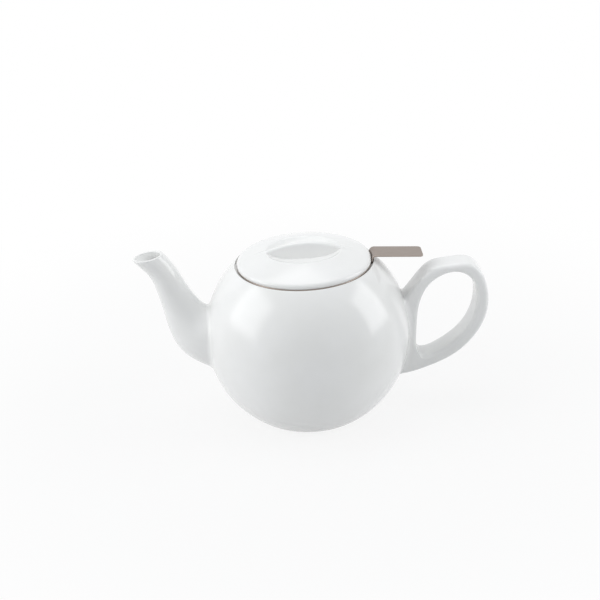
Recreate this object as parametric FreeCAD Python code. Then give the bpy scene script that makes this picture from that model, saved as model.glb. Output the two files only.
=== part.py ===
import FreeCAD, Part
import math
import os

# Porcelain teapot with a lift-out steel infuser. Millimetres. X runs from the spout to the handle,
# Z is up, and the origin is the centre of the foot on the table.

os.makedirs("parts", exist_ok=True)
V = FreeCAD.Vector
UP = V(0, 0, 1)
ORIGIN = V(0, 0, 0)

# Pot body
globe_radius = 66.0
pot_wall = 4.0
pot_floor = 4.0
foot_radius = 39.0
foot_ring_width = 4.0
foot_recess = 2.0
foot_rounding = 1.2
foot_bevel = 1.0
floor_rounding = 9.0
throat_radius = 40.5
throat_bevel = 1.2
ledge_width = 3.5
mouth_rounding = 0.45
gallery_depth = 1.6
gallery_thickness = 4.0
pour_hole_radius = 11.0

# Spout: the centre of each round section, as reach beyond the globe's side and height above the globe's
# centre, and the section's radius, from inside the globe wall to the neck
spout_sections = [
    (-16.0, -0.7, 23.5),
    (-5.8, 2.0, 20.7),
    (4.1, 7.4, 17.9),
    (10.0, 15.1, 15.1),
    (14.3, 24.3, 12.4),
    (18.4, 36.5, 10.2),
    (24.2, 50.8, 9.4),
]
# The last two sections, at the lip and beyond it, with their centres measured from the lip's centre
lip_sections = [
    (0.5, 0.2, 9.5),
    (10.8, 10.3, 10.4),
]
spout_wall = 2.6
lip_reach = 30.7
lip_height = 60.0
lip_tilt = 10.3
lip_rounding = 0.9

# Handle: an ear-shaped strap seen from the side, as two closed curves, each point given as reach beyond
# the globe's side and height above the globe's centre
handle_width = 17.5
handle_rounding = 2.7
handle_outer = [
    (-10.0, 13.8), (3.3, 33.0), (17.0, 42.0), (31.5, 43.8), (44.8, 35.0),
    (51.0, 15.8), (45.6, -4.2), (31.0, -18.8), (10.0, -28.6), (-12.0, -33.2),
]
handle_inner = [
    (7.0, -21.0), (22.0, -13.6), (36.2, 0.8), (43.0, 20.8), (38.7, 33.6),
    (29.0, 37.8), (16.0, 31.4), (7.4, 17.6), (4.2, -1.2),
]

# Infuser, pressed and welded from steel sheet
sheet = 0.8
mesh_sheet = 0.5
bead_radius = 0.9
bead_clearance = 0.8
collar_clearance = 1.3
collar_depth = 8.0
collar_lap = 6.0
basket_depth = 72.0
floor_upstand = 2.2
punch_length = 4.0
wall_hole_radius = 1.6
wall_hole_count = 16
wall_hole_rows = 5
wall_hole_margin = 7.0
floor_hole_radius = 1.3
floor_ring_pitch = 9.0
floor_ring_count = 3
floor_ring_holes = 6

# Infuser strap handle
strap_width = 15.6
strap_thickness = 0.9
strap_rise = 4.6
strap_droop = 4.0
strap_bend = 2.2
strap_overhang = 9.0
strap_corner = 2.2

# Lid
lid_clearance = 0.3
lid_edge = 1.8
lid_edge_rounding = 1.0
dome_rise = 8.4
crest_rise = 2.6
dish_depth = 6.4
dish_half_length = 65.0
dish_half_width = 59.4
fin_thickness = 5.2
fin_half_length = 27.0
fin_rounding = 2.2
lid_wall = 4.0
skirt_clearance = 5.3
skirt_wall = 2.4
skirt_depth = 2.0
hollow_radius = 17.0
hollow_rise = 3.2
hollow_rim_width = 3.2

# Levels that follow from the sizes above
mouth_radius = throat_radius + ledge_width
globe_centre_z = math.sqrt(globe_radius ** 2 - foot_radius ** 2)
rim_z = globe_centre_z + math.sqrt(globe_radius ** 2 - mouth_radius ** 2)
ledge_z = rim_z - gallery_depth
flange_top_z = ledge_z + sheet
bead_top_z = ledge_z + 2 * bead_radius
bead_centre_radius = mouth_radius - bead_clearance - bead_radius
collar_radius = throat_radius - collar_clearance
basket_radius = collar_radius - sheet
basket_bottom_z = ledge_z - basket_depth
lip_centre = V(-globe_radius - lip_reach, 0, globe_centre_z + lip_height)
strap_inner_radius = mouth_radius - bead_clearance - strap_thickness
strap_reach = globe_radius + strap_overhang
lid_radius = strap_inner_radius - lid_clearance
lid_lip_z = bead_top_z
lid_edge_top_z = lid_lip_z + lid_edge
dome_top_z = lid_edge_top_z + dome_rise
crest_z = dome_top_z + crest_rise
dish_floor_z = dome_top_z - dish_depth


def globe(radius):
    return Part.makeSphere(radius, V(0, 0, globe_centre_z))


def half_chord(radius, z):
    return math.sqrt(radius ** 2 - (z - globe_centre_z) ** 2)


def line(a, b):
    return Part.makeLine(V(a[0], 0, a[1]), V(b[0], 0, b[1]))


def arc(a, middle, b):
    return Part.Arc(V(a[0], 0, a[1]), V(middle[0], 0, middle[1]), V(b[0], 0, b[1])).toShape()


def polyline(points):
    return [line(a, b) for a, b in zip(points, points[1:])]


def turned(edges):
    face = Part.Face(Part.Wire(edges))
    return face.revolve(ORIGIN, UP, 360)


def from_globe_centre(point):
    return math.atan2(point[1] - globe_centre_z, point[0])


def rounding(centre, radius, start, end):
    # The start, middle and end of an arc, from the directions in which its ends lie.
    angles = [start, (start + end) / 2, end]
    return [(centre[0] + radius * math.cos(angle), centre[1] + radius * math.sin(angle)) for angle in angles]


def pot_body():
    inner_radius = globe_radius - pot_wall
    gallery_bottom_z = ledge_z - gallery_thickness
    inside_floor_z = foot_recess + pot_floor
    inner_top = (half_chord(inner_radius, gallery_bottom_z), gallery_bottom_z)
    recess_radius = foot_radius - foot_ring_width
    down = -math.pi / 2
    inward = math.pi

    foot_centre = (half_chord(globe_radius - foot_rounding, foot_rounding), foot_rounding)
    foot = rounding(foot_centre, foot_rounding, down, from_globe_centre(foot_centre))
    rim_x = mouth_radius + mouth_rounding
    rim_centre = (rim_x, globe_centre_z + math.sqrt((globe_radius - mouth_rounding) ** 2 - rim_x ** 2))
    rim = rounding(rim_centre, mouth_rounding, from_globe_centre(rim_centre), inward)
    floor_turn_z = inside_floor_z + floor_rounding
    floor_centre = (half_chord(inner_radius - floor_rounding, floor_turn_z), floor_turn_z)
    floor = rounding(floor_centre, floor_rounding, from_globe_centre(floor_centre), down)

    foot_ring = polyline([
        (0, foot_recess), (recess_radius, foot_recess), (recess_radius, foot_bevel),
        (recess_radius + foot_bevel, 0), foot[0],
    ])
    outside = [arc(*foot), arc(foot[2], (globe_radius, globe_centre_z), rim[0]), arc(*rim)]
    gallery = polyline([
        rim[2], (mouth_radius, ledge_z), (throat_radius, ledge_z), (throat_radius, gallery_bottom_z + throat_bevel),
        (throat_radius + throat_bevel, gallery_bottom_z), inner_top,
    ])
    inside = [arc(inner_top, (inner_radius, globe_centre_z), floor[0]), arc(*floor)]
    bottom = polyline([floor[2], (0, inside_floor_z), (0, foot_recess)])
    body = turned(foot_ring + outside + gallery + inside + bottom)
    root_z = globe_centre_z + spout_sections[1][1]
    pour_hole = Part.makeCylinder(pour_hole_radius, globe_radius, V(0, 0, root_z), V(-1, 0, 0))
    return body.cut(pour_hole)


def spout_loft(inset):
    sections = spout_sections + [(lip_reach + out, lip_height + up, radius) for out, up, radius in lip_sections]
    centres = [V(-globe_radius - reach, 0, globe_centre_z + height) for reach, height, radius in sections]
    path = Part.BSplineCurve()
    path.interpolate(centres)
    rings = []
    for centre, section in zip(centres, sections):
        direction = path.tangent(path.parameter(centre))[0]
        ring = Part.Circle(ORIGIN, UP, section[2] - inset).toShape()
        lean = math.degrees(math.atan2(direction.x, direction.z))
        ring.Placement = FreeCAD.Placement(centre, FreeCAD.Rotation(V(0, 1, 0), lean))
        rings.append(Part.Wire(ring))
    return Part.makeLoft(rings, True, False)


def spout():
    tube = spout_loft(0).cut(globe(globe_radius))
    reach = globe_radius
    above_lip = Part.makeBox(2 * reach, 2 * reach, reach, V(-reach, -reach, 0))
    above_lip.Placement = FreeCAD.Placement(lip_centre, FreeCAD.Rotation(V(0, 1, 0), -lip_tilt))
    tube = tube.cut(above_lip).cut(spout_loft(spout_wall))
    lip_normal = V(-math.sin(math.radians(lip_tilt)), 0, math.cos(math.radians(lip_tilt)))
    lip_edges = [e for e in tube.Edges if abs((e.CenterOfMass - lip_centre).dot(lip_normal)) < 0.01]
    return tube.makeFillet(lip_rounding, lip_edges)


def closed_curve(points):
    curve = Part.BSplineCurve()
    side_y = -handle_width / 2
    places = [V(globe_radius + reach, side_y, globe_centre_z + height) for reach, height in points]
    curve.interpolate(places, PeriodicFlag=True)
    return Part.Wire(curve.toShape())


def handle():
    outline = Part.Face(closed_curve(handle_outer))
    finger_gap = Part.Face(closed_curve(handle_inner))
    across = V(0, handle_width, 0)
    ring = outline.extrude(across).cut(finger_gap.extrude(across))
    side_edges = [e for e in ring.Edges if abs(abs(e.CenterOfMass.y) - handle_width / 2) < 0.01]
    ring = ring.makeFillet(handle_rounding, side_edges)
    return ring.cut(globe(globe_radius))


def infuser_rim():
    collar_bottom_z = ledge_z - collar_depth
    collar_inner = collar_radius - sheet
    flange = turned(polyline([
        (collar_inner, collar_bottom_z), (collar_radius, collar_bottom_z), (collar_radius, ledge_z),
        (bead_centre_radius, ledge_z), (bead_centre_radius, flange_top_z), (collar_inner, flange_top_z),
        (collar_inner, collar_bottom_z),
    ]))
    bead = Part.makeTorus(bead_centre_radius, bead_radius, V(0, 0, ledge_z + bead_radius))
    return flange.fuse(bead).removeSplitter()


def infuser_wall():
    top_z = ledge_z - collar_depth + collar_lap
    tube = Part.makeCylinder(basket_radius, top_z - basket_bottom_z, V(0, 0, basket_bottom_z))
    tube = tube.cut(Part.makeCylinder(basket_radius - mesh_sheet, basket_depth, V(0, 0, basket_bottom_z)))
    first_z = basket_bottom_z + floor_upstand + wall_hole_margin / 2
    last_z = ledge_z - collar_depth - wall_hole_margin / 2
    spacing = (last_z - first_z) / (wall_hole_rows - 1)
    pitch = 2 * math.pi / wall_hole_count
    holes = []
    for row in range(wall_hole_rows):
        for column in range(wall_hole_count):
            angle = pitch * (column + 0.5 * (row % 2))
            outward = V(math.cos(angle), math.sin(angle), 0)
            start = outward * (basket_radius - punch_length / 2) + UP * (first_z + spacing * row)
            holes.append(Part.makeCylinder(wall_hole_radius, punch_length, start, outward))
    return tube.cut(Part.makeCompound(holes))


def infuser_floor():
    outer = basket_radius - mesh_sheet
    inner = outer - mesh_sheet
    top_z = basket_bottom_z + floor_upstand
    plate_top_z = basket_bottom_z + mesh_sheet
    cup = turned(polyline([
        (0, basket_bottom_z), (outer, basket_bottom_z), (outer, top_z), (inner, top_z),
        (inner, plate_top_z), (0, plate_top_z), (0, basket_bottom_z),
    ]))
    below = UP * (basket_bottom_z - punch_length / 2)
    holes = [Part.makeCylinder(floor_hole_radius, punch_length, below)]
    for ring in range(1, floor_ring_count + 1):
        ring_radius = ring * floor_ring_pitch
        count = ring * floor_ring_holes
        for step in range(count):
            angle = 2 * math.pi * step / count
            spot = V(ring_radius * math.cos(angle), ring_radius * math.sin(angle), 0)
            holes.append(Part.makeCylinder(floor_hole_radius, punch_length, spot + below))
    return cup.cut(Part.makeCompound(holes))


def infuser_strap(rim):
    # A strip bent outward over the rim, drooping a little: turned as a ring, then cut to the strip's width.
    droop = math.radians(strap_droop)
    foot_z = ledge_z + bead_radius
    inside = strap_inner_radius
    outside = inside + strap_thickness
    bend_x = outside + strap_bend
    bend_z = flange_top_z + strap_rise - strap_thickness - strap_bend
    half_turn = (math.pi - droop + math.pi / 2) / 2

    def on_bend(radius, angle):
        return (bend_x + radius * math.cos(angle), bend_z + radius * math.sin(angle))

    def outward(point):
        length = strap_reach + strap_width - point[0]
        return (point[0] + length * math.cos(droop), point[1] - length * math.sin(droop))

    top_bend = strap_bend + strap_thickness
    top_start = on_bend(top_bend, math.pi / 2 - droop)
    under_start = on_bend(strap_bend, math.pi / 2 - droop)
    ring = turned([
        line((inside, foot_z), (inside, bend_z)),
        arc((inside, bend_z), on_bend(top_bend, half_turn), top_start),
        line(top_start, outward(top_start)),
        line(outward(top_start), outward(under_start)),
        line(outward(under_start), under_start),
        arc(under_start, on_bend(strap_bend, half_turn), (outside, bend_z)),
        line((outside, bend_z), (outside, foot_z)),
        line((outside, foot_z), (inside, foot_z)),
    ])
    strip_length = strap_reach - throat_radius
    corner = V(throat_radius, -strap_width / 2, ledge_z - strap_width)
    strip = Part.makeBox(strip_length, strap_width, 2 * strap_width, corner)
    tip_edges = [e for e in strip.Edges if e.BoundBox.ZLength > strap_width and e.CenterOfMass.x > throat_radius + 1]
    return ring.common(strip.makeFillet(strap_corner, tip_edges)).cut(rim)


def lid_dish():
    # An ellipsoid: half an ellipse turned about its long axis.
    centre = V(0, 0, dish_floor_z + dish_half_width)
    ellipse = Part.Ellipse(ORIGIN, dish_half_length, dish_half_width)
    rim = Part.Arc(ellipse, 0, math.pi).toShape()
    axis = Part.makeLine(V(-dish_half_length, 0, 0), V(dish_half_length, 0, 0))
    dish = Part.Face(Part.Wire([rim, axis])).revolve(ORIGIN, V(1, 0, 0), 360)
    dish.translate(centre)
    return dish


def lid_fin():
    end_z = lid_edge_top_z + dome_rise * (1 - (fin_half_length / lid_radius) ** 2)
    base_z = dish_floor_z - lid_wall / 2
    left = (-fin_half_length, end_z)
    right = (fin_half_length, end_z)
    outline = [
        arc(left, (0, crest_z), right),
        line(right, (fin_half_length, base_z)),
        line((fin_half_length, base_z), (-fin_half_length, base_z)),
        line((-fin_half_length, base_z), left),
    ]
    fin = Part.Face(Part.Wire(outline))
    fin.translate(V(0, -fin_thickness / 2, 0))
    fin = fin.extrude(V(0, fin_thickness, 0))
    crest_edges = [e for e in fin.Edges if hasattr(e.Curve, "Radius")]
    return fin.makeFillet(fin_rounding, crest_edges)


def lid():
    # The lip rests on the infuser's bead, and the skirt hangs inside the infuser.
    skirt_outer = basket_radius - mesh_sheet - skirt_clearance
    skirt_inner = skirt_outer - skirt_wall
    skirt_bottom_z = lid_lip_z - skirt_depth
    under_z = dish_floor_z - lid_wall
    hollow_z = under_z + hollow_rise
    edge_mid = (lid_radius, lid_lip_z + lid_edge / 2)
    dome_edge = (lid_radius - lid_edge_rounding, lid_edge_top_z)
    half = dome_edge[0] / 2
    dome_curve = (dome_edge[0] ** 2 + dome_rise ** 2) / (2 * dome_rise)
    dome_middle = (half, dome_top_z - dome_curve + math.sqrt(dome_curve ** 2 - half ** 2))
    lip_edge = (lid_radius - lid_edge_rounding, lid_lip_z)
    edges = polyline([
        (0, under_z), (hollow_radius, under_z), (skirt_inner - hollow_rim_width, hollow_z),
        (skirt_inner, hollow_z), (skirt_inner, skirt_bottom_z), (skirt_outer, skirt_bottom_z),
        (skirt_outer, lid_lip_z), lip_edge,
    ])
    edges.append(arc(lip_edge, edge_mid, dome_edge))
    edges.append(arc(dome_edge, dome_middle, (0, dome_top_z)))
    edges.append(line((0, dome_top_z), (0, under_z)))
    return turned(edges).cut(lid_dish()).fuse(lid_fin()).removeSplitter()


def main():
    rim = infuser_rim()
    pieces = {
        "pot_body": pot_body(),
        "spout": spout(),
        "handle": handle(),
        "lid": lid(),
        "infuser_rim": rim,
        "infuser_wall": infuser_wall(),
        "infuser_floor": infuser_floor(),
        "infuser_strap": infuser_strap(rim),
    }
    for name, shape in pieces.items():
        solid = shape.Solids[0]
        box = solid.BoundBox
        print(name, len(shape.Solids), shape.isValid(), round(solid.Volume, 1),
              [round(v, 2) for v in (box.XMin, box.XMax, box.YMin, box.YMax, box.ZMin, box.ZMax)])
        solid.exportStep("parts/" + name + ".step")


main()
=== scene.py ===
import math

import bmesh
import bpy
import numpy as np
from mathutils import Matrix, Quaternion, Vector
from mathutils.geometry import delaunay_2d_cdt


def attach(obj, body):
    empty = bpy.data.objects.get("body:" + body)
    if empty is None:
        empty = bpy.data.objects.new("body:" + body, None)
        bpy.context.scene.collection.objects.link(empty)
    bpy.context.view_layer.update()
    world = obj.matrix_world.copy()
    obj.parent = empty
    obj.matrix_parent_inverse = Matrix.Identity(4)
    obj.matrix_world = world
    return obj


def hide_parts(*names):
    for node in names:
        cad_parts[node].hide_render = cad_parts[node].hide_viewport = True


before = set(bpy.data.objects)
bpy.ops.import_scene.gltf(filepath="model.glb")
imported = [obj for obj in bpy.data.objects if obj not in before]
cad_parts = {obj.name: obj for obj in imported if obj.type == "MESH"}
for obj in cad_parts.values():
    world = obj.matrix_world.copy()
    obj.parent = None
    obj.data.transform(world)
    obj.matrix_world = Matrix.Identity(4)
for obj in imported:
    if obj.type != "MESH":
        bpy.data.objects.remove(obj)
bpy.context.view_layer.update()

# Sizes in millimetres, in the frame of the CAD model. The origin is the centre of the foot on the table,
# and X runs from the spout to the handle.
MM = 0.001
GLOBE_RADIUS = 66.0
POT_WALL = 4.0
POT_FLOOR = 4.0
FOOT_RADIUS = 39.0
FOOT_RING_WIDTH = 4.0
FOOT_RECESS = 2.0
THROAT_RADIUS = 40.5
MOUTH_RADIUS = 44.0
GALLERY_DEPTH = 1.6
GALLERY_THICKNESS = 4.0
POUR_HOLE_RADIUS = 11.0
POUR_HOLE_RISE = 2.0
POT_ROUNDING = 0.6
UNGLAZED_HEIGHT = 0.5
GLOBE_Z = math.sqrt(GLOBE_RADIUS ** 2 - FOOT_RADIUS ** 2)
GLOBE_CENTRE = np.array([0.0, 0.0, GLOBE_Z])
RIM_Z = GLOBE_Z + math.sqrt(GLOBE_RADIUS ** 2 - MOUTH_RADIUS ** 2)
LEDGE_Z = RIM_Z - GALLERY_DEPTH

# Turned pieces: steps round, and the radius of the innermost ring, whose middle is closed
TURNED_SEGMENTS = 192
AXIS_RADIUS = 1.0

# Spout sections: reach beyond the globe's side, height above the globe's centre, and radius
SPOUT_SECTIONS = [
    (-16.0, -0.7, 23.5),
    (-5.8, 2.0, 20.7),
    (4.1, 7.4, 18.1),
    (10.2, 15.1, 14.4),
    (14.4, 24.3, 11.5),
    (18.9, 36.5, 9.5),
    (25.0, 50.8, 8.3),
    (32.9, 60.2, 8.1),
    (41.5, 70.3, 7.9),
]
SPOUT_WALL = 3.2
LIP_WALL = 1.6
LIP_FLARE_SHARE = 0.08
LIP_FLARE_POWER = 1.5
SPOUT_FILLET = 3.0
SPOUT_FILLET_SINK = 0.05
LIP_REACH = 30.7
LIP_HEIGHT = 60.0
LIP_TILT = math.radians(8.0)
# Shares of the spout's length: what its root fillet takes, and how far its bore runs into the pot wall
FILLET_SHARE = 0.025
BORE_OVERLAP_SHARE = 0.01

# Handle outlines seen from the side: reach beyond the globe's side and height above the globe's centre
HANDLE_OUTER = [
    (-8.1, 13.7), (3.1, 29.5), (14.1, 40.7), (29.1, 43.4), (38.2, 43.2),
    (50.95, 16.8), (45.4, -3.4), (32.1, -18.5), (11.0, -28.9), (-11.9, -31.9),
]
HANDLE_INNER = [
    (7.1, -19.7), (22.4, -14.8), (37.7, -0.1), (43.1, 21.0), (38.2, 34.0),
    (32.6, 37.2), (12.8, 30.1), (6.5, 17.7), (4.3, -1.1),
]
HANDLE_WIDTH = 17.5
HANDLE_ROUNDING = 2.8
HANDLE_FILLET = 3.0
HANDLE_SINK = 1.0

# Infuser
SHEET = 0.8
MESH_SHEET = 0.5
BEAD_RADIUS = 0.7
BEAD_CLEARANCE = 1.25
BEAD_START = math.radians(-90)
BEAD_END = math.radians(185.4)
RIM_ROUNDING = 0.2
COLLAR_RADIUS = 39.2
COLLAR_DEPTH = 8.0
COLLAR_LAP = 6.0
BASKET_DEPTH = 72.0
FLOOR_UPSTAND = 2.2
HOLE_RADIUS = 0.9
WALL_HOLE_COUNT = 72
WALL_HOLE_ROWS = 18
WALL_HOLE_MARGIN = 1.2
FLOOR_HOLE_PITCH = 3.4
FLOOR_CORNER = 0.2
HOLE_POINTS = 16
BASKET_RADIUS = COLLAR_RADIUS - SHEET
BASKET_BOTTOM_Z = LEDGE_Z - BASKET_DEPTH
FLANGE_TOP_Z = LEDGE_Z + SHEET
BEAD_CENTRE_RADIUS = MOUTH_RADIUS - BEAD_CLEARANCE - BEAD_RADIUS
STRAP_WIDTH = 15.6
STRAP_THICKNESS = 0.9
STRAP_RISE = 4.6
STRAP_DROOP = math.radians(4.0)
STRAP_BEND = 2.2
STRAP_REACH = 75.0
STRAP_CORNER = 2.2
STRAP_EDGE_ROUNDING = 0.35

# Lid
LID_RADIUS = 42.6
LID_REST_GAP = 0.03
LID_LIP_Z = LEDGE_Z + 2 * BEAD_RADIUS + LID_REST_GAP
LID_EDGE = 3.15
LID_EDGE_WIDTH = 3.2
LID_EDGE_FALL = 2.6
LID_EDGE_START = math.radians(60)
DOME_EDGE_RADIUS = LID_RADIUS - LID_EDGE_WIDTH * (1 - math.cos(LID_EDGE_START))
DOME_EDGE_Z = LID_LIP_Z + LID_EDGE
DOME_RISE = 7.45
DOME_TOP_Z = DOME_EDGE_Z + DOME_RISE
CREST_RISE = 2.5
CREST_Z = DOME_TOP_Z + CREST_RISE
DISH_FALL = 7.2
DISH_FLOOR_Z = DOME_TOP_Z - DISH_FALL
DISH_DEPTH = 5.0
DISH_HALF_LENGTH = 24.4
DISH_HALF_WIDTH = 21.5
DISH_STEEPNESS = 1.8
DISH_EDGE_SOFTNESS = 0.6
FIN_HALF_LENGTH = 27.0
FIN_DROP = 5.9
FIN_ROUNDING = 2.1
FIN_SETBACK = 0.8
FIN_WALL_ANGLE = math.radians(77)
FIN_FOOT_SOFTNESS = 1.6
SKIRT_OUTER = 32.6
SKIRT_INNER = 30.2
SKIRT_DEPTH = 2.0
LID_WALL = 3.2
HOLLOW_RADIUS = 17.0
HOLLOW_SLOPE_WIDTH = 10.0
HOLLOW_RISE = 3.2
LID_ROUNDING = 0.4
LID_SEGMENTS = 288
# Where the top's ovals end and the turned edge begins, and the breadth of the finer ovals about the fin
TOP_RADIUS = 39.0
FIN_BAND = 7.0


# Mesh helpers

WELD_DISTANCE = 0.002
SHARP_ANGLE = math.radians(50)


def spline(points, count, closed=False):
    """Points evenly spread along a smooth curve through the given points."""
    knots = np.array(points, float)
    if closed:
        knots = np.vstack([knots[-3:], knots, knots[:4]])
    gaps = np.linalg.norm(np.diff(knots[:, :2], axis=0), axis=1)
    at = np.concatenate([[0.0], np.cumsum(gaps)])
    size = len(knots)
    system = np.eye(size)
    right = np.zeros_like(knots)
    for i in range(1, size - 1):
        before, after = gaps[i - 1], gaps[i]
        system[i, i - 1:i + 2] = before, 2 * (before + after), after
        right[i] = 6 * ((knots[i + 1] - knots[i]) / after - (knots[i] - knots[i - 1]) / before)
    bend = np.linalg.solve(system, right)
    start, end = (at[3], at[-4]) if closed else (at[0], at[-1])
    where = np.linspace(start, end, count, endpoint=not closed)
    index = np.clip(np.searchsorted(at, where, side="right") - 1, 0, size - 2)
    gap = gaps[index][:, None]
    left = (where - at[index])[:, None]
    rest = gap - left
    return (
        bend[index] * rest ** 3 / (6 * gap) + bend[index + 1] * left ** 3 / (6 * gap)
        + (knots[index] / gap - bend[index] * gap / 6) * rest
        + (knots[index + 1] / gap - bend[index + 1] * gap / 6) * left
    )


def softened(profile, rounding, closed=False, spacing=0.05, turn=5.0, longest=2.5):
    """A turned profile with its corners rounded, keeping only the points that its curves need."""
    profile = np.array(profile, float)
    if closed:
        profile = np.vstack([profile, profile[:1]])
    run = np.concatenate([[0.0], np.cumsum(np.linalg.norm(np.diff(profile, axis=0), axis=1))])
    count = int(run[-1] / spacing)
    even = np.linspace(0, run[-1], count, endpoint=not closed)
    points = np.stack([np.interp(even, run, profile[:, axis]) for axis in (0, 1)], axis=1)
    reach = int(2 * rounding / spacing)
    blur = 0.6 * rounding
    weights = np.exp(-0.5 * (np.arange(-reach, reach + 1) * spacing / blur) ** 2)
    weights /= weights.sum()
    if closed:
        padded = np.vstack([points[-reach:], points, points[:reach]])
    else:
        before = 2 * points[0] - points[reach:0:-1]
        after = 2 * points[-1] - points[-2:-reach - 2:-1]
        padded = np.vstack([before, points, after])
    smooth = np.stack([np.convolve(padded[:, axis], weights, "valid") for axis in (0, 1)], axis=1)
    step = np.diff(smooth, axis=0)
    heading = np.unwrap(np.arctan2(step[:, 1], step[:, 0]))
    kept = [0]
    for i in range(1, len(smooth) - 1):
        turned_enough = abs(heading[i] - heading[kept[-1]]) > math.radians(turn)
        far_enough = np.linalg.norm(smooth[i] - smooth[kept[-1]]) > longest
        if turned_enough or far_enough:
            kept.append(i)
    if not closed:
        kept.append(len(smooth) - 1)
    return smooth[kept]


def turned_rings(profile, segments):
    """Rings of points made by turning a profile of radius and height about Z."""
    angles = np.linspace(0, 2 * math.pi, segments, endpoint=False)
    around = np.stack([np.cos(angles), np.sin(angles)], axis=1)
    profile = np.asarray(profile)
    rings = np.zeros((len(profile), segments, 3))
    rings[:, :, :2] = profile[:, 0, None, None] * around
    rings[:, :, 2] = profile[:, 1, None]
    return rings


def ring_quads(count, segments, first=0, joined=False):
    """Quads between neighbouring rings of points, whose numbers start at first."""
    pairs = [(i, i + 1) for i in range(count - 1)]
    if joined:
        pairs.append((count - 1, 0))
    quads = []
    for a, b in pairs:
        for j in range(segments):
            k = (j + 1) % segments
            corners = (a * segments + j, a * segments + k, b * segments + k, b * segments + j)
            quads.append(tuple(first + c for c in corners))
    return quads


def piece(name, points, faces, material, body, node):
    """A smooth-shaded mesh in the shared frame that stands for a CAD node and moves with its body."""
    mesh = bpy.data.meshes.new(name)
    mesh.from_pydata([tuple(p) for p in np.asarray(points) * MM], [], faces)
    shape = bmesh.new()
    shape.from_mesh(mesh)
    bmesh.ops.remove_doubles(shape, verts=shape.verts, dist=WELD_DISTANCE * MM)
    bmesh.ops.recalc_face_normals(shape, faces=shape.faces)
    shape.to_mesh(mesh)
    shape.free()
    mesh.shade_smooth()
    mesh.set_sharp_from_angle(angle=SHARP_ANGLE)
    mesh.materials.append(material)
    obj = bpy.data.objects.new(name, mesh)
    bpy.context.scene.collection.objects.link(obj)
    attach(obj, body)
    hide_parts(node)
    return obj


def ring_piece(name, rings, closed_ends, material, body, node):
    """A piece from a stack of rings. Ends named first or last are closed, and with none they are joined."""
    count, segments = rings.shape[:2]
    points = list(rings.reshape(-1, 3))
    faces = ring_quads(count, segments, joined=not closed_ends)
    for end in closed_ends:
        ring = 0 if end == "first" else count - 1
        middle = len(points)
        points.append(rings[ring].mean(axis=0))
        start = ring * segments
        faces += [(middle, start + j, start + (j + 1) % segments) for j in range(segments)]
    return piece(name, points, faces, material, body, node)


def rounded_section(half_thickness, half_width, rounding, side_points, face_points, corner_points=7):
    """A rounded rectangle in thickness and width, with points along its flats as well as its corners."""
    arcs = []
    for turn, (t, w) in enumerate([(1, 1), (-1, 1), (-1, -1), (1, -1)]):
        angles = (turn + np.linspace(0, 1, corner_points)) * math.pi / 2
        centre = np.array([t * (half_thickness - rounding), w * (half_width - rounding)])
        arcs.append(centre + rounding * np.stack([np.cos(angles), np.sin(angles)], axis=1))
    section = []
    for arc, after, count in zip(arcs, arcs[1:] + arcs[:1], [side_points, face_points] * 2):
        along = np.linspace(0, 1, count + 2)[1:-1, None]
        section += [arc, arc[-1] + (after[0] - arc[-1]) * along]
    return np.concatenate(section)


# Materials

def linear(code):
    """Scene colour of an sRGB hex code."""
    parts = [int(code[i:i + 2], 16) / 255 for i in (1, 3, 5)]
    return [p / 12.92 if p <= 0.04045 else ((p + 0.055) / 1.055) ** 2.4 for p in parts] + [1.0]


def pattern_scale(size):
    """Scale of a pattern whose features are this many millimetres wide."""
    return 1 / (size * MM)


def add_node(tree, kind, settings=None, **inputs):
    """Adds a node, sets its own options, then sets each input to a value or links it to an output."""
    node = tree.nodes.new(kind)
    for key, value in (settings or {}).items():
        setattr(node, key, value)
    for key, value in inputs.items():
        socket = node.inputs[key.replace("_", " ")]
        if isinstance(value, bpy.types.NodeSocket):
            tree.links.new(value, socket)
        else:
            socket.default_value = value
    return node


def new_material(name):
    material = bpy.data.materials.new(name)
    material.use_nodes = True
    tree = material.node_tree
    return material, tree, tree.nodes["Principled BSDF"]


def two_tones(tree, pattern, dark, light, stops=(0.3, 0.7)):
    """Colour output that runs between two hex colours with a pattern."""
    ramp = add_node(tree, "ShaderNodeValToRGB", Fac=pattern)
    for stop, position, code in zip(ramp.color_ramp.elements, stops, (dark, light)):
        stop.position = position
        stop.color = linear(code)
    return ramp.outputs["Color"]


def glazed_porcelain():
    # Cast porcelain under clear gloss glaze: sharp, slightly wavering reflections on a faintly uneven white
    cloud_width = 33.33
    wave_width = 22.22
    wave_depth = 0.05
    material, tree, shader = new_material("porcelain_cast_clear_glazed")
    place = add_node(tree, "ShaderNodeTexCoord").outputs["Object"]
    cloud = add_node(tree, "ShaderNodeTexNoise", Vector=place, Scale=pattern_scale(cloud_width), Detail=3.0)
    tone = two_tones(tree, cloud.outputs["Fac"], "#F0F0EE", "#F5F5F4")
    wave = add_node(tree, "ShaderNodeTexNoise", Vector=place, Scale=pattern_scale(wave_width), Detail=1.0)
    ripple = add_node(
        tree, "ShaderNodeBump", Height=wave.outputs["Fac"], Strength=1.0, Distance=wave_depth * MM)
    tree.links.new(tone, shader.inputs["Base Color"])
    tree.links.new(ripple.outputs["Normal"], shader.inputs["Normal"])
    shader.inputs["Roughness"].default_value = 0.08
    shader.inputs["IOR"].default_value = 1.52
    return material


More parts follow.
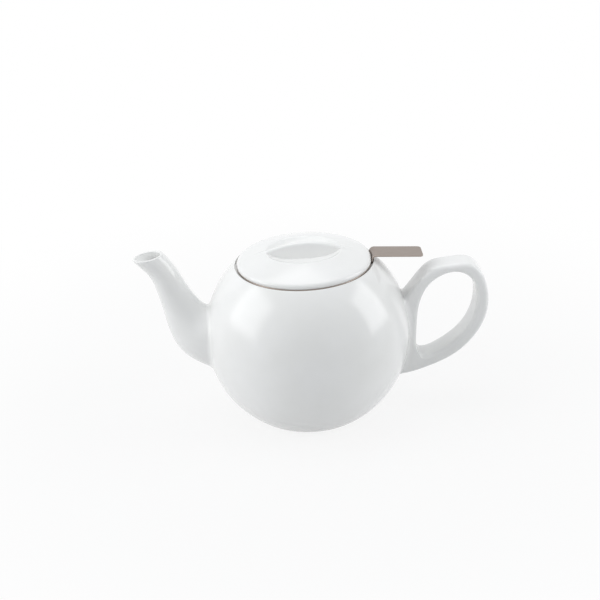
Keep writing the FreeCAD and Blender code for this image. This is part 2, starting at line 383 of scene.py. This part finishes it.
def bare_porcelain():
    # The foot ring, wiped clean of glaze before firing: matt, a little warm and finely grainy. The real grain
    # is finer, and is drawn coarser so that it shows.
    grain_width = 0.5556
    grain_depth = 0.05
    material, tree, shader = new_material("porcelain_fired_unglazed")
    place = add_node(tree, "ShaderNodeTexCoord").outputs["Object"]
    grain = add_node(tree, "ShaderNodeTexNoise", Vector=place, Scale=pattern_scale(grain_width), Detail=4.0)
    tone = two_tones(tree, grain.outputs["Fac"], "#D9D3C8", "#E8E3DA")
    rough = add_node(
        tree, "ShaderNodeBump", Height=grain.outputs["Fac"], Strength=0.6, Distance=grain_depth * MM)
    tree.links.new(tone, shader.inputs["Base Color"])
    tree.links.new(rough.outputs["Normal"], shader.inputs["Normal"])
    shader.inputs["Roughness"].default_value = 0.75
    return material


def brushed_steel(name, streak_sizes):
    # Stainless sheet brushed one way: fine streaks that smear the highlight across them. Real scratches are
    # finer, and are drawn coarser so that they show.
    scratch_depth = 0.02
    streaks = [pattern_scale(size) for size in streak_sizes]
    material, tree, shader = new_material(name)
    place = add_node(tree, "ShaderNodeTexCoord").outputs["Object"]
    stretched = add_node(tree, "ShaderNodeMapping", Vector=place, Scale=streaks).outputs["Vector"]
    streak = add_node(tree, "ShaderNodeTexNoise", Vector=stretched, Scale=1.0, Detail=6.0, Roughness=0.65)
    tone = two_tones(tree, streak.outputs["Fac"], "#938982", "#9F958E")
    gloss = add_node(tree, "ShaderNodeMapRange", Value=streak.outputs["Fac"], To_Min=0.30, To_Max=0.40)
    scratch = add_node(
        tree, "ShaderNodeBump", Height=streak.outputs["Fac"], Strength=0.5, Distance=scratch_depth * MM)
    tree.links.new(tone, shader.inputs["Base Color"])
    tree.links.new(gloss.outputs["Result"], shader.inputs["Roughness"])
    tree.links.new(scratch.outputs["Normal"], shader.inputs["Normal"])
    shader.inputs["Metallic"].default_value = 1.0
    return material


# Pot

def globe_arc(radius, start, end, count=400):
    """Points round the globe's centre, by angle from straight down."""
    return [(radius * math.sin(a), GLOBE_Z - radius * math.cos(a)) for a in np.linspace(start, end, count)]


def build_pot(glaze, bare):
    inner = GLOBE_RADIUS - POT_WALL
    gallery_z = LEDGE_Z - GALLERY_THICKNESS
    floor_z = FOOT_RECESS + POT_FLOOR
    recess = FOOT_RADIUS - FOOT_RING_WIDTH
    profile = [(AXIS_RADIUS, FOOT_RECESS), (recess, FOOT_RECESS), (recess, 0.0)]
    foot_angle = math.asin(FOOT_RADIUS / GLOBE_RADIUS)
    mouth_angle = math.pi - math.asin(MOUTH_RADIUS / GLOBE_RADIUS)
    profile += globe_arc(GLOBE_RADIUS, foot_angle, mouth_angle)
    profile += [(MOUTH_RADIUS, LEDGE_Z), (THROAT_RADIUS, LEDGE_Z), (THROAT_RADIUS, gallery_z)]
    top_angle = math.acos((GLOBE_Z - gallery_z) / inner)
    floor_angle = math.acos((GLOBE_Z - floor_z) / inner)
    profile += globe_arc(inner, top_angle, floor_angle) + [(AXIS_RADIUS, floor_z)]
    rings = turned_rings(softened(profile, POT_ROUNDING), TURNED_SEGMENTS)
    pot = ring_piece("pot_body_glazed", rings, ["first", "last"], glaze, "pot", "pot_body")
    pot.data.materials.append(bare)
    for face in pot.data.polygons:
        if face.center.z < UNGLAZED_HEIGHT * MM:
            face.material_index = 1
    bore_pour_hole(pot)


def bore_pour_hole(pot):
    """Cuts the round hole behind the spout through the wall."""
    bpy.ops.mesh.primitive_cylinder_add(vertices=96, radius=POUR_HOLE_RADIUS * MM, depth=GLOBE_RADIUS * MM)
    drill = bpy.context.object
    drill.rotation_euler = (0.0, math.radians(90), 0.0)
    drill.location = (-GLOBE_RADIUS * MM, 0.0, (GLOBE_Z + POUR_HOLE_RISE) * MM)
    cut = pot.modifiers.new("pour_hole", "BOOLEAN")
    cut.operation = "DIFFERENCE"
    cut.solver = "EXACT"
    cut.object = drill
    bpy.context.view_layer.update()
    bored = bpy.data.meshes.new_from_object(pot.evaluated_get(bpy.context.evaluated_depsgraph_get()))
    pot.modifiers.clear()
    pot.data = bored
    bored.set_sharp_from_angle(angle=SHARP_ANGLE)
    bpy.data.objects.remove(drill)


def spout_surface(inset, along):
    """Points of the spout's surface. Each column of along is one angle, from 0 to 1 up its length."""
    sections = spline(SPOUT_SECTIONS, count=600)
    sections[:, 0] = -GLOBE_RADIUS - sections[:, 0]
    sections[:, 1] += GLOBE_Z
    slope = np.gradient(sections[:, :2], axis=0)
    slope /= np.linalg.norm(slope, axis=1)[:, None]
    at = np.clip(along, 0, 1) * (len(sections) - 1)
    low = np.minimum(at.astype(int), len(sections) - 2)
    part = (at - low)[..., None]
    section = sections[low] * (1 - part) + sections[low + 1] * part
    heading = slope[low] * (1 - part) + slope[low + 1] * part
    angles = np.linspace(0, 2 * math.pi, along.shape[1], endpoint=False)
    radius = section[..., 2] - inset
    out = radius * np.cos(angles)
    return np.stack([
        section[..., 0] + out * heading[..., 1],
        radius * np.sin(angles),
        section[..., 1] - out * heading[..., 0],
    ], axis=-1)


def first_crossing(inset, segments, test):
    """For each angle, how far along the spout the test first turns positive."""
    steps = 1000
    along = np.repeat(np.linspace(0, 1, steps)[:, None], segments, axis=1)
    value = test(spout_surface(inset, along))
    index = np.argmax((value[:-1] <= 0) & (value[1:] > 0), axis=0)
    column = np.arange(segments)
    before, after = value[index, column], value[index + 1, column]
    return (index - before / (after - before)) / (steps - 1)


def build_spout(glaze):
    segments = 96
    lip_rise = 0.5 * LIP_WALL
    lip_centre = np.array([-GLOBE_RADIUS - LIP_REACH, 0.0, GLOBE_Z + LIP_HEIGHT])
    lip_normal = np.array([-math.sin(LIP_TILT), 0.0, math.cos(LIP_TILT)])

    def above_lip(points):
        return (points - lip_centre) @ lip_normal + lip_rise

    def outside_globe(points):
        return np.linalg.norm(points - GLOBE_CENTRE, axis=-1) - GLOBE_RADIUS

    # The outside: a small fillet that runs off the globe, then the tube up to the lip
    root = first_crossing(0, segments, outside_globe)
    foot = spout_surface(0, root[None])[0]
    outward = (foot - GLOBE_CENTRE) / GLOBE_RADIUS
    away = foot - foot.mean(axis=0)
    away -= (away * outward).sum(axis=1)[:, None] * outward
    away /= np.linalg.norm(away, axis=1)[:, None]
    edge = foot + SPOUT_FILLET * away - GLOBE_CENTRE
    edge *= (GLOBE_RADIUS - SPOUT_FILLET_SINK) / np.linalg.norm(edge, axis=1)[:, None]
    edge += GLOBE_CENTRE
    start = root + FILLET_SHARE
    lip = first_crossing(0, segments, above_lip)
    tube = spout_surface(0, start + (lip - start) * np.linspace(0, 1, 90)[:, None])
    rings = []
    for t in np.linspace(0, 1, 10, endpoint=False):
        rings.append((1 - t) ** 2 * edge + 2 * t * (1 - t) * foot + t ** 2 * tube[0])
    rings.extend(tube)
    # The rolled lip, then the inside, which narrows from the lip's funnel to the bore, down to the pot wall
    lip_inside = first_crossing(LIP_WALL, segments, above_lip)
    root_inside = first_crossing(SPOUT_WALL, segments, outside_globe) - BORE_OVERLAP_SHARE
    crowding = 1.5
    depth = np.linspace(0, 1, 70)[:, None] ** crowding
    flare = np.clip(1 - depth / LIP_FLARE_SHARE, 0, 1) ** LIP_FLARE_POWER
    wall = SPOUT_WALL + (LIP_WALL - SPOUT_WALL) * flare
    bore = spout_surface(wall, lip_inside + (root_inside - lip_inside) * depth)
    middle = (tube[-1] + bore[0]) / 2
    half = (tube[-1] - bore[0]) / 2
    for angle in np.linspace(0, math.pi, 11)[1:-1]:
        rings.append(middle + math.cos(angle) * half + math.sin(angle) * lip_rise * lip_normal)
    rings.extend(bore)
    ring_piece("spout_glazed", np.array(rings), [], glaze, "pot", "spout")


def facing_points(inner, outer):
    """For each point of the inner outline, a point across the strap on the outer one, evenly passed along."""
    turns = np.linspace(0, 2 * math.pi, len(outer), endpoint=False)
    nearest = np.argmin(np.linalg.norm(inner[:, None] - outer[None], axis=2), axis=1)
    steady = np.linspace(0, 2 * math.pi, len(inner), endpoint=False)
    drift = np.unwrap(turns[nearest]) - steady
    smoothing_passes = 60
    for _ in range(smoothing_passes):
        drift = (np.roll(drift, 1) + 2 * drift + np.roll(drift, -1)) / 4
    where = steady + drift
    return np.stack([np.interp(where, turns, outer[:, axis], period=2 * math.pi) for axis in (0, 1)], axis=1)


def flared(spots, facing):
    """Spreads a strap's points into a round fillet near the globe, and ends them in its wall."""
    from_centre = spots - GLOBE_CENTRE
    distance = np.linalg.norm(from_centre, axis=1)[:, None]
    upright = from_centre / distance
    height = np.clip(distance - GLOBE_RADIUS, 0, HANDLE_FILLET)
    spread = HANDLE_FILLET - np.sqrt(HANDLE_FILLET ** 2 - (HANDLE_FILLET - height) ** 2)
    level = facing - (facing * upright).sum(axis=1)[:, None] * upright
    moved = from_centre + spread * level
    reach = np.linalg.norm(moved, axis=1)[:, None]
    return GLOBE_CENTRE + moved * np.maximum(1, (GLOBE_RADIUS - HANDLE_SINK) / reach)


def build_handle(glaze):
    start = np.array([GLOBE_RADIUS, GLOBE_Z])
    outer = spline(HANDLE_OUTER, count=900, closed=True) + start
    inner = spline(HANDLE_INNER[::-1], count=320, closed=True) + start
    half_width = HANDLE_WIDTH / 2
    flats = {"side_points": 30, "face_points": 14}
    rings = []
    for near, far in zip(inner, facing_points(inner, outer)):
        middle = (near + far) / 2
        half = np.linalg.norm(far - near) / 2
        across = (far - near) / (2 * half)
        section = rounded_section(half, half_width, HANDLE_ROUNDING, **flats)
        core = rounded_section(half - HANDLE_ROUNDING, half_width - HANDLE_ROUNDING, 0.0, **flats)
        out = (section - core) / HANDLE_ROUNDING
        flat = section[:, :1] * across
        spots = np.stack([middle[0] + flat[:, 0], section[:, 1], middle[1] + flat[:, 1]], axis=1)
        facing = np.stack([out[:, 0] * across[0], out[:, 1], out[:, 0] * across[1]], axis=1)
        rings.append(flared(spots, facing))
    ring_piece("handle_glazed", np.array(rings), [], glaze, "pot", "handle")


# Infuser

def build_rim(steel):
    inner = COLLAR_RADIUS - SHEET
    bottom_z = LEDGE_Z - COLLAR_DEPTH
    bead_z = LEDGE_Z + BEAD_RADIUS
    profile = [(inner, bottom_z), (COLLAR_RADIUS, bottom_z), (COLLAR_RADIUS, LEDGE_Z)]
    for angle in np.linspace(BEAD_START, BEAD_END, 40):
        reach = BEAD_CENTRE_RADIUS + BEAD_RADIUS * math.cos(angle)
        profile.append((reach, bead_z + BEAD_RADIUS * math.sin(angle)))
    profile += [(BEAD_CENTRE_RADIUS - BEAD_RADIUS, FLANGE_TOP_Z), (inner, FLANGE_TOP_Z)]
    outline = softened(profile, RIM_ROUNDING, closed=True, spacing=0.02, turn=10)
    rings = turned_rings(outline, TURNED_SEGMENTS)
    ring_piece("infuser_rim_pressed", rings, [], steel, "infuser", "infuser_rim")


def build_wall(steel):
    """A perforated tube: staggered cells, each a square of sheet round one hole, between two plain bands."""
    pitch = 2 * math.pi / WALL_HOLE_COUNT
    low = BASKET_BOTTOM_Z + FLOOR_UPSTAND + WALL_HOLE_MARGIN
    high = LEDGE_Z - COLLAR_DEPTH - WALL_HOLE_MARGIN
    rise = (high - low) / WALL_HOLE_ROWS
    inner = BASKET_RADIUS - MESH_SHEET
    side = np.array([-1.0, -0.5, 0.0, 0.5])
    flat = np.ones(len(side))
    around = len(side) * WALL_HOLE_COUNT
    edges = [(flat, side), (-side, flat), (-flat, -side), (side, -flat)]
    square = np.concatenate([np.stack(edge, axis=1) for edge in edges]) * [pitch / 2, rise / 2]
    turns = np.linspace(-0.25 * math.pi, 1.75 * math.pi, HOLE_POINTS, endpoint=False)
    hole = np.stack([np.cos(turns) / BASKET_RADIUS, np.sin(turns)], axis=1) * HOLE_RADIUS
    loops = [(BASKET_RADIUS, square), (BASKET_RADIUS, hole), (inner, hole), (inner, square)]
    points = []
    faces = []
    for row in range(WALL_HOLE_ROWS):
        for column in range(WALL_HOLE_COUNT):
            centre = [pitch * (column + 0.5 * (row % 2)), low + rise * (row + 0.5)]
            faces += ring_quads(len(loops), HOLE_POINTS, len(points))
            for radius, loop in loops:
                points += [(radius * math.cos(a), radius * math.sin(a), z) for a, z in loop + centre]
    top_z = LEDGE_Z - COLLAR_DEPTH + COLLAR_LAP
    for near_z, far_z in [(low, BASKET_BOTTOM_Z), (high, top_z)]:
        band = [(BASKET_RADIUS, near_z), (BASKET_RADIUS, far_z), (inner, far_z), (inner, near_z)]
        faces += ring_quads(len(band), around, len(points))
        points += list(turned_rings(band, around).reshape(-1, 3))
    piece("infuser_wall_perforated", points, faces, steel, "infuser", "infuser_wall")


def build_floor(steel):
    """A perforated plate with a turned-up edge that fits inside the tube."""
    outer = BASKET_RADIUS - MESH_SHEET
    inner = outer - MESH_SHEET
    segments = TURNED_SEGMENTS
    turns = np.linspace(0, 2 * math.pi, segments, endpoint=False)
    plate = [(inner * math.cos(a), inner * math.sin(a)) for a in turns]
    loops = [list(range(segments))]
    rows = int(inner / FLOOR_HOLE_PITCH) + 1
    for row in range(-rows, rows + 1):
        for column in range(-rows, rows + 1):
            x = FLOOR_HOLE_PITCH * (column + 0.5 * (row % 2))
            y = FLOOR_HOLE_PITCH * row * math.sin(math.radians(60))
            if math.hypot(x, y) < inner - FLOOR_HOLE_PITCH:
                loops.append(list(range(len(plate), len(plate) + HOLE_POINTS)))
                for a in np.linspace(0, 2 * math.pi, HOLE_POINTS, endpoint=False):
                    plate.append((x + HOLE_RADIUS * math.cos(a), y + HOLE_RADIUS * math.sin(a)))
    inside_only = 1
    merge_distance = 1e-6
    spots, _, cells, _, _, sources = delaunay_2d_cdt(
        [Vector(p) for p in plate], [], loops, inside_only, merge_distance)
    cells = [cell for cell, source in zip(cells, sources) if list(source) == [0]]
    low_z = BASKET_BOTTOM_Z
    high_z = BASKET_BOTTOM_Z + MESH_SHEET
    top_z = BASKET_BOTTOM_Z + FLOOR_UPSTAND
    points = [(p.x, p.y, z) for z in (low_z, high_z) for p in spots]
    faces = [tuple(i + shift for i in cell) for shift in (0, len(spots)) for cell in cells]
    for loop in loops[1:]:
        for a, b in zip(loop, loop[1:] + loop[:1]):
            faces.append((a, b, b + len(spots), a + len(spots)))
    edge = [
        (inner, low_z), (outer - FLOOR_CORNER, low_z), (outer, low_z + FLOOR_CORNER),
        (outer, top_z), (inner, top_z), (inner, high_z),
    ]
    faces += ring_quads(len(edge), segments, len(points))
    points += list(turned_rings(edge, segments).reshape(-1, 3))
    piece("infuser_floor_perforated", points, faces, steel, "infuser", "infuser_floor")


def build_strap(steel):
    """A strip that rises from the rim, bends outward and droops a little to a tip with rounded corners."""
    inside = MOUTH_RADIUS - BEAD_CLEARANCE
    bend_x = inside + STRAP_THICKNESS + STRAP_BEND
    bend_z = FLANGE_TOP_Z + STRAP_RISE - STRAP_THICKNESS - STRAP_BEND
    middle = STRAP_BEND + STRAP_THICKNESS / 2
    along = np.array([math.cos(STRAP_DROOP), -math.sin(STRAP_DROOP)])
    half = STRAP_WIDTH / 2
    rings = []

    def add(place, heading, half_width):
        section = rounded_section(
            STRAP_THICKNESS / 2, half_width, STRAP_EDGE_ROUNDING, side_points=1, face_points=12)
        across = section[:, 1]
        x = place[0] - section[:, 0] * heading[1]
        z = place[1] + section[:, 0] * heading[0]
        curve = inside - np.sqrt(inside ** 2 - across ** 2)
        fade = np.clip((STRAP_REACH - x) / (STRAP_REACH - bend_x), 0, 1)
        rings.append(np.stack([x - curve * fade, across, z], axis=1))

    for z in np.linspace(LEDGE_Z + BEAD_RADIUS, bend_z, 4)[:-1]:
        add((bend_x - middle, z), (0.0, 1.0), half)
    for angle in np.linspace(math.pi, math.pi / 2 - STRAP_DROOP, 14):
        place = np.array([bend_x + middle * math.cos(angle), bend_z + middle * math.sin(angle)])
        add(place, (math.sin(angle), -math.cos(angle)), half)
    length = (STRAP_REACH - place[0]) / along[0]
    for step in np.linspace(0, length - STRAP_CORNER, 16)[1:]:
        add(place + step * along, along, half)
    for angle in np.linspace(0, math.pi / 2, 10)[1:]:
        step = length - STRAP_CORNER + STRAP_CORNER * math.sin(angle)
        add(place + step * along, along, half - STRAP_CORNER + STRAP_CORNER * math.cos(angle))
    ring_piece("infuser_strap_bent", np.array(rings), ["first", "last"], steel, "infuser", "infuser_strap")


# Lid

def smooth_min(a, b, width):
    """The lower of two heights, with the crease between them rounded over a width."""
    blend = np.clip(0.5 + 0.5 * (b - a) / width, 0, 1)
    return b + (a - b) * blend - width * blend * (1 - blend)


def lid_top(x, y):
    """Height of the lid's top: a dome with an oval dish sunk in it and a fin left standing along the dish."""
    dome_curve = (DOME_EDGE_RADIUS ** 2 + DOME_RISE ** 2) / (2 * DOME_RISE)
    dome = DOME_TOP_Z - dome_curve + np.sqrt(dome_curve ** 2 - x ** 2 - y ** 2)
    spread = (x / DISH_HALF_LENGTH) ** 2 + (y / DISH_HALF_WIDTH) ** 2
    dish = DISH_FLOOR_Z + DISH_DEPTH * spread ** DISH_STEEPNESS
    crest = CREST_Z - FIN_DROP * (x / FIN_HALF_LENGTH) ** 2
    shoulder = FIN_ROUNDING * math.sin(FIN_WALL_ANGLE)
    off_crest = abs(y - FIN_SETBACK)
    inside = np.minimum(off_crest, shoulder)
    roll = FIN_ROUNDING - np.sqrt(FIN_ROUNDING ** 2 - inside ** 2)
    fin = crest - roll - (off_crest - inside) * math.tan(FIN_WALL_ANGLE)
    scooped = smooth_min(dome, dish, DISH_EDGE_SOFTNESS)
    return -smooth_min(-scooped, -fin, FIN_FOOT_SOFTNESS)


def build_lid(glaze):
    turns = np.linspace(0, 2 * math.pi, LID_SEGMENTS, endpoint=False)
    # Ovals that open from a line along the fin's crest to the round rim, so that edges follow the fin
    fine = np.linspace(0, FIN_BAND, 56, endpoint=False)
    breadth = np.concatenate([fine, np.linspace(FIN_BAND, TOP_RADIUS, 70)])[:, None]
    length = FIN_HALF_LENGTH + (TOP_RADIUS - FIN_HALF_LENGTH) * breadth / TOP_RADIUS
    x = length * np.cos(turns)
    y = breadth * np.sin(turns) + FIN_SETBACK * (1 - breadth / TOP_RADIUS)
    top = np.stack([x, y, lid_top(x, y)], axis=-1)
    under_z = DISH_FLOOR_Z - LID_WALL
    hollow_z = under_z + HOLLOW_RISE
    skirt_z = LID_LIP_Z - SKIRT_DEPTH
    profile = [(TOP_RADIUS, float(lid_top(np.array(TOP_RADIUS), np.array(0.0))))]
    for angle in np.linspace(LID_EDGE_START, 0, 9):
        reach = LID_RADIUS - LID_EDGE_WIDTH * (1 - math.cos(angle))
        profile.append((reach, DOME_EDGE_Z - LID_EDGE_FALL * (math.sin(LID_EDGE_START) - math.sin(angle))))
    profile += [
        (LID_RADIUS, LID_LIP_Z), (SKIRT_OUTER, LID_LIP_Z), (SKIRT_OUTER, skirt_z), (SKIRT_INNER, skirt_z),
        (SKIRT_INNER, hollow_z), (HOLLOW_RADIUS + HOLLOW_SLOPE_WIDTH, hollow_z), (HOLLOW_RADIUS, under_z),
        (AXIS_RADIUS, under_z),
    ]
    lower = turned_rings(softened(profile, LID_ROUNDING)[1:], LID_SEGMENTS)
    ring_piece("lid_glazed", np.concatenate([top, lower]), ["last"], glaze, "lid", "lid")


# Stage, in metres

WHITE = (1.0, 1.0, 1.0, 1.0)
FLOOR_SIZE = 8.0
FLOOR_WHITENESS = 0.86
SHADOW_REACH = (0.10, 0.40)
# Shares of a lamp's size, from its middle, between which it fades
LAMP_FADE = (0.25, 0.5)
LAMP_TARGET = (0.0, 0.0, 0.06)
CAMERA_PLACE = (-0.0249, -0.7130, 0.41519)
CAMERA_TARGET = (-0.00385, 0.0, 0.07547)
CAMERA_ROLL = math.radians(-3.142)
# In millimetres, as on a real camera
CAMERA_SENSOR = 36.0
CAMERA_LENS = 73.776


def aim(obj, target):
    """Turns a lamp or camera so that its -Z axis points at a place."""
    obj.rotation_mode = "QUATERNION"
    obj.rotation_quaternion = (Vector(target) - obj.location).to_track_quat("-Z", "Y")


def softbox(name, place, size, power):
    """A rectangular lamp that fades towards its edge, so that its reflection has no hard outline."""
    lamp = bpy.data.lights.new(name, "AREA")
    lamp.shape = "RECTANGLE"
    lamp.size, lamp.size_y = size
    lamp.energy = power
    lamp.use_nodes = True
    tree = lamp.node_tree
    spot = add_node(tree, "ShaderNodeNewGeometry").outputs["Parametric"]
    offset = add_node(tree, "ShaderNodeVectorMath", {"operation": "SUBTRACT"})
    tree.links.new(spot, offset.inputs[0])
    offset.inputs[1].default_value = (0.5, 0.5, 0.0)
    reach = add_node(tree, "ShaderNodeVectorMath", {"operation": "ABSOLUTE"})
    tree.links.new(offset.outputs["Vector"], reach.inputs[0])
    sides = add_node(tree, "ShaderNodeSeparateXYZ", Vector=reach.outputs["Vector"])
    farther = add_node(tree, "ShaderNodeMath", {"operation": "MAXIMUM"})
    tree.links.new(sides.outputs["X"], farther.inputs[0])
    tree.links.new(sides.outputs["Y"], farther.inputs[1])
    glow = add_node(
        tree, "ShaderNodeMapRange", {"interpolation_type": "SMOOTHSTEP"}, Value=farther.outputs["Value"],
        From_Min=LAMP_FADE[0], From_Max=LAMP_FADE[1], To_Min=1.0, To_Max=0.0)
    tree.links.new(glow.outputs["Result"], tree.nodes["Emission"].inputs["Strength"])
    obj = bpy.data.objects.new(name, lamp)
    obj.location = place
    aim(obj, LAMP_TARGET)
    bpy.context.scene.collection.objects.link(obj)


def seen_directly(tree):
    """1 for rays that show a surface, straight or in a reflection, and 0 for rays that carry light."""
    path = add_node(tree, "ShaderNodeLightPath").outputs
    mirrored = add_node(tree, "ShaderNodeMath", {"operation": "MAXIMUM"})
    tree.links.new(path["Is Glossy Ray"], mirrored.inputs[0])
    tree.links.new(path["Is Transmission Ray"], mirrored.inputs[1])
    either = add_node(tree, "ShaderNodeMath", {"operation": "MAXIMUM"})
    tree.links.new(path["Is Camera Ray"], either.inputs[0])
    tree.links.new(mirrored.outputs["Value"], either.inputs[1])
    return either.outputs["Value"]


def build_floor_plane():
    # A pale matt sweep that takes the shadow round the object and looks white farther out. Its fibres are
    # drawn coarser than real ones.
    fibre_width = 1.111
    material, tree, shader = new_material("paper_matt_white")
    place = add_node(tree, "ShaderNodeTexCoord").outputs["Object"]
    fibre = add_node(tree, "ShaderNodeTexNoise", Vector=place, Scale=pattern_scale(fibre_width), Detail=3.0)
    tree.links.new(two_tones(tree, fibre.outputs["Fac"], "#DEDEDE", "#E4E4E4"), shader.inputs["Base Color"])
    shader.inputs["Roughness"].default_value = 0.9
    shader.inputs["Specular IOR Level"].default_value = 0.0
    white = add_node(tree, "ShaderNodeEmission", Color=WHITE, Strength=1.0)
    distance = add_node(tree, "ShaderNodeVectorMath", {"operation": "LENGTH"})
    tree.links.new(place, distance.inputs[0])
    whiteness = add_node(
        tree, "ShaderNodeMapRange", {"interpolation_type": "SMOOTHSTEP"}, Value=distance.outputs["Value"],
        From_Min=SHADOW_REACH[0], From_Max=SHADOW_REACH[1], To_Min=FLOOR_WHITENESS, To_Max=1.0)
    share = add_node(tree, "ShaderNodeMath", {"operation": "MULTIPLY"})
    tree.links.new(seen_directly(tree), share.inputs[0])
    tree.links.new(whiteness.outputs["Result"], share.inputs[1])
    mix = add_node(tree, "ShaderNodeMixShader", Fac=share.outputs["Value"])
    tree.links.new(shader.outputs["BSDF"], mix.inputs[1])
    tree.links.new(white.outputs["Emission"], mix.inputs[2])
    tree.links.new(mix.outputs["Shader"], tree.nodes["Material Output"].inputs["Surface"])
    bpy.ops.mesh.primitive_plane_add(size=FLOOR_SIZE, location=(0.0, 0.0, 0.0))
    floor = bpy.context.object
    floor.name = "studio_floor"
    floor.data.materials.append(material)


def build_world():
    # White to the camera and in reflections, softer as a source of light
    world = bpy.data.worlds.new("studio")
    bpy.context.scene.world = world
    world.use_nodes = True
    tree = world.node_tree
    shown = tree.nodes["Background"]
    shown.inputs["Color"].default_value = WHITE
    shown.inputs["Strength"].default_value = 1.0
    fill = add_node(tree, "ShaderNodeBackground", Color=linear("#F2F6FA"), Strength=0.5)
    mix = add_node(tree, "ShaderNodeMixShader", Fac=seen_directly(tree))
    tree.links.new(fill.outputs["Background"], mix.inputs[1])
    tree.links.new(shown.outputs["Background"], mix.inputs[2])
    tree.links.new(mix.outputs["Shader"], tree.nodes["World Output"].inputs["Surface"])


def build_camera():
    camera = bpy.data.cameras.new("camera")
    camera.sensor_width = CAMERA_SENSOR
    camera.lens = CAMERA_LENS
    camera.clip_end = 20.0
    obj = bpy.data.objects.new("camera", camera)
    obj.location = CAMERA_PLACE
    aim(obj, CAMERA_TARGET)
    roll = Quaternion((0.0, 0.0, 1.0), CAMERA_ROLL)
    obj.rotation_quaternion = obj.rotation_quaternion @ roll
    bpy.context.scene.collection.objects.link(obj)
    bpy.context.scene.camera = obj


glaze = glazed_porcelain()
spun_steel = brushed_steel("steel_spun_brushed", (16.67, 16.67, 1.111))
strip_steel = brushed_steel("steel_strip_brushed", (16.67, 0.6667, 0.6667))

build_pot(glaze, bare_porcelain())
build_spout(glaze)
build_handle(glaze)
build_lid(glaze)
build_rim(spun_steel)
build_wall(spun_steel)
build_floor(spun_steel)
build_strap(strip_steel)

build_floor_plane()
build_world()
softbox("overhead", (-0.2, 0.3, 1.4), (1.6, 1.3), 10.5)
softbox("spout_side", (-1.4, -0.2, 0.8), (1.6, 1.6), 19.0)
softbox("handle_side", (1.4, -0.1, 0.6), (1.1, 1.4), 13.5)
build_camera()
bpy.context.scene.view_settings.view_transform = "Standard"
